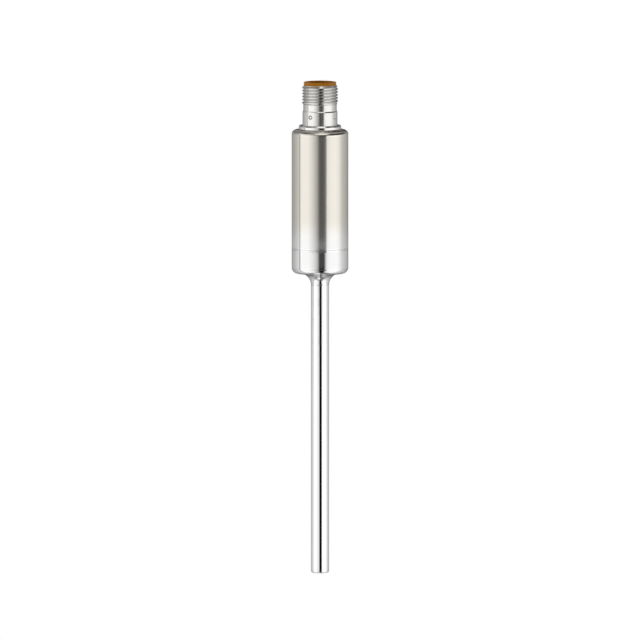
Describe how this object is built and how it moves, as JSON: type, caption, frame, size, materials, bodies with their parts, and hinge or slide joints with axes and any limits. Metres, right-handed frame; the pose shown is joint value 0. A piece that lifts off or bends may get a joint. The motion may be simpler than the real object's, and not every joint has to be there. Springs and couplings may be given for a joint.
{
  "type": "temperature transmitter",
  "caption": "Compact temperature transmitter: round steel housing with a slim probe below and a threaded round plug connector with signal windows on top.",
  "frame": {"origin": "on the probe's axis, where the straight stem leaves the curved neck under the housing", "axes": "+Z along the probe's axis, from the tip towards the plug connector; -Y is the side that the picture shows"},
  "size_m": [0.0188, 0.0188, 0.1638],
  "materials": {
    "satin_steel": "fine brushed stainless steel",
    "polished_steel": "polished stainless steel",
    "amber_plastic": "amber moulded high-temperature plastic",
    "gilded_contact": "thinly gilded brass",
    "seal_rubber": "black sealing rubber",
    "clear_plastic": "clear moulded plastic",
    "signal_light": "pale cast resin, unlit",
    "board_laminate": "green lacquered laminate",
    "flex_film": "orange film with buried tracks",
    "holder_plastic": "white moulded plastic",
    "chip_black": "black moulding compound with tinned leads",
    "capacitor_yellow": "yellow moulding compound",
    "capacitor_tan": "tan fired ceramic",
    "plug_silicone": "grey soft silicone",
    "lead_red": "red lead insulation",
    "lead_white": "white lead insulation",
    "sensor_ceramic": "white fired ceramic with a thin platinum film",
    "filler_compound": "heat-conducting casting compound"
  },
  "bodies": {
    "root": {"connector_shell": "polished_steel", "housing_sleeve": "satin_steel", "housing_base": "polished_steel", "probe_tube": "polished_steel", "tip_cap": "polished_steel", "contact_carrier": "amber_plastic", "contact_pin_1": "gilded_contact", "contact_pin_2": "gilded_contact", "contact_pin_3": "gilded_contact", "contact_pin_4": "gilded_contact", "carrier_seal": "seal_rubber", "shell_seal": "seal_rubber", "led_window_1": "clear_plastic", "led_window_2": "clear_plastic", "led_window_3": "clear_plastic", "led_window_4": "clear_plastic", "status_led_1": "signal_light", "status_led_2": "signal_light", "status_led_3": "signal_light", "status_led_4": "signal_light", "connector_board": "board_laminate", "flex_strip": "flex_film", "board_holder": "holder_plastic", "circuit_board": "board_laminate", "processor_chip": "chip_black", "converter_chip": "chip_black", "loop_driver": "chip_black", "protection_diode": "chip_black", "storage_capacitor": "capacitor_yellow", "chip_resistors": "chip_black", "chip_capacitors": "capacitor_tan", "lead_plug": "plug_silicone", "lead_wire_1": "lead_red", "lead_wire_2": "lead_red", "lead_wire_3": "lead_white", "lead_wire_4": "lead_white", "sensor_board": "board_laminate", "sensor_element": "sensor_ceramic", "tip_filler": "filler_compound"}
  },
  "joints": []
}
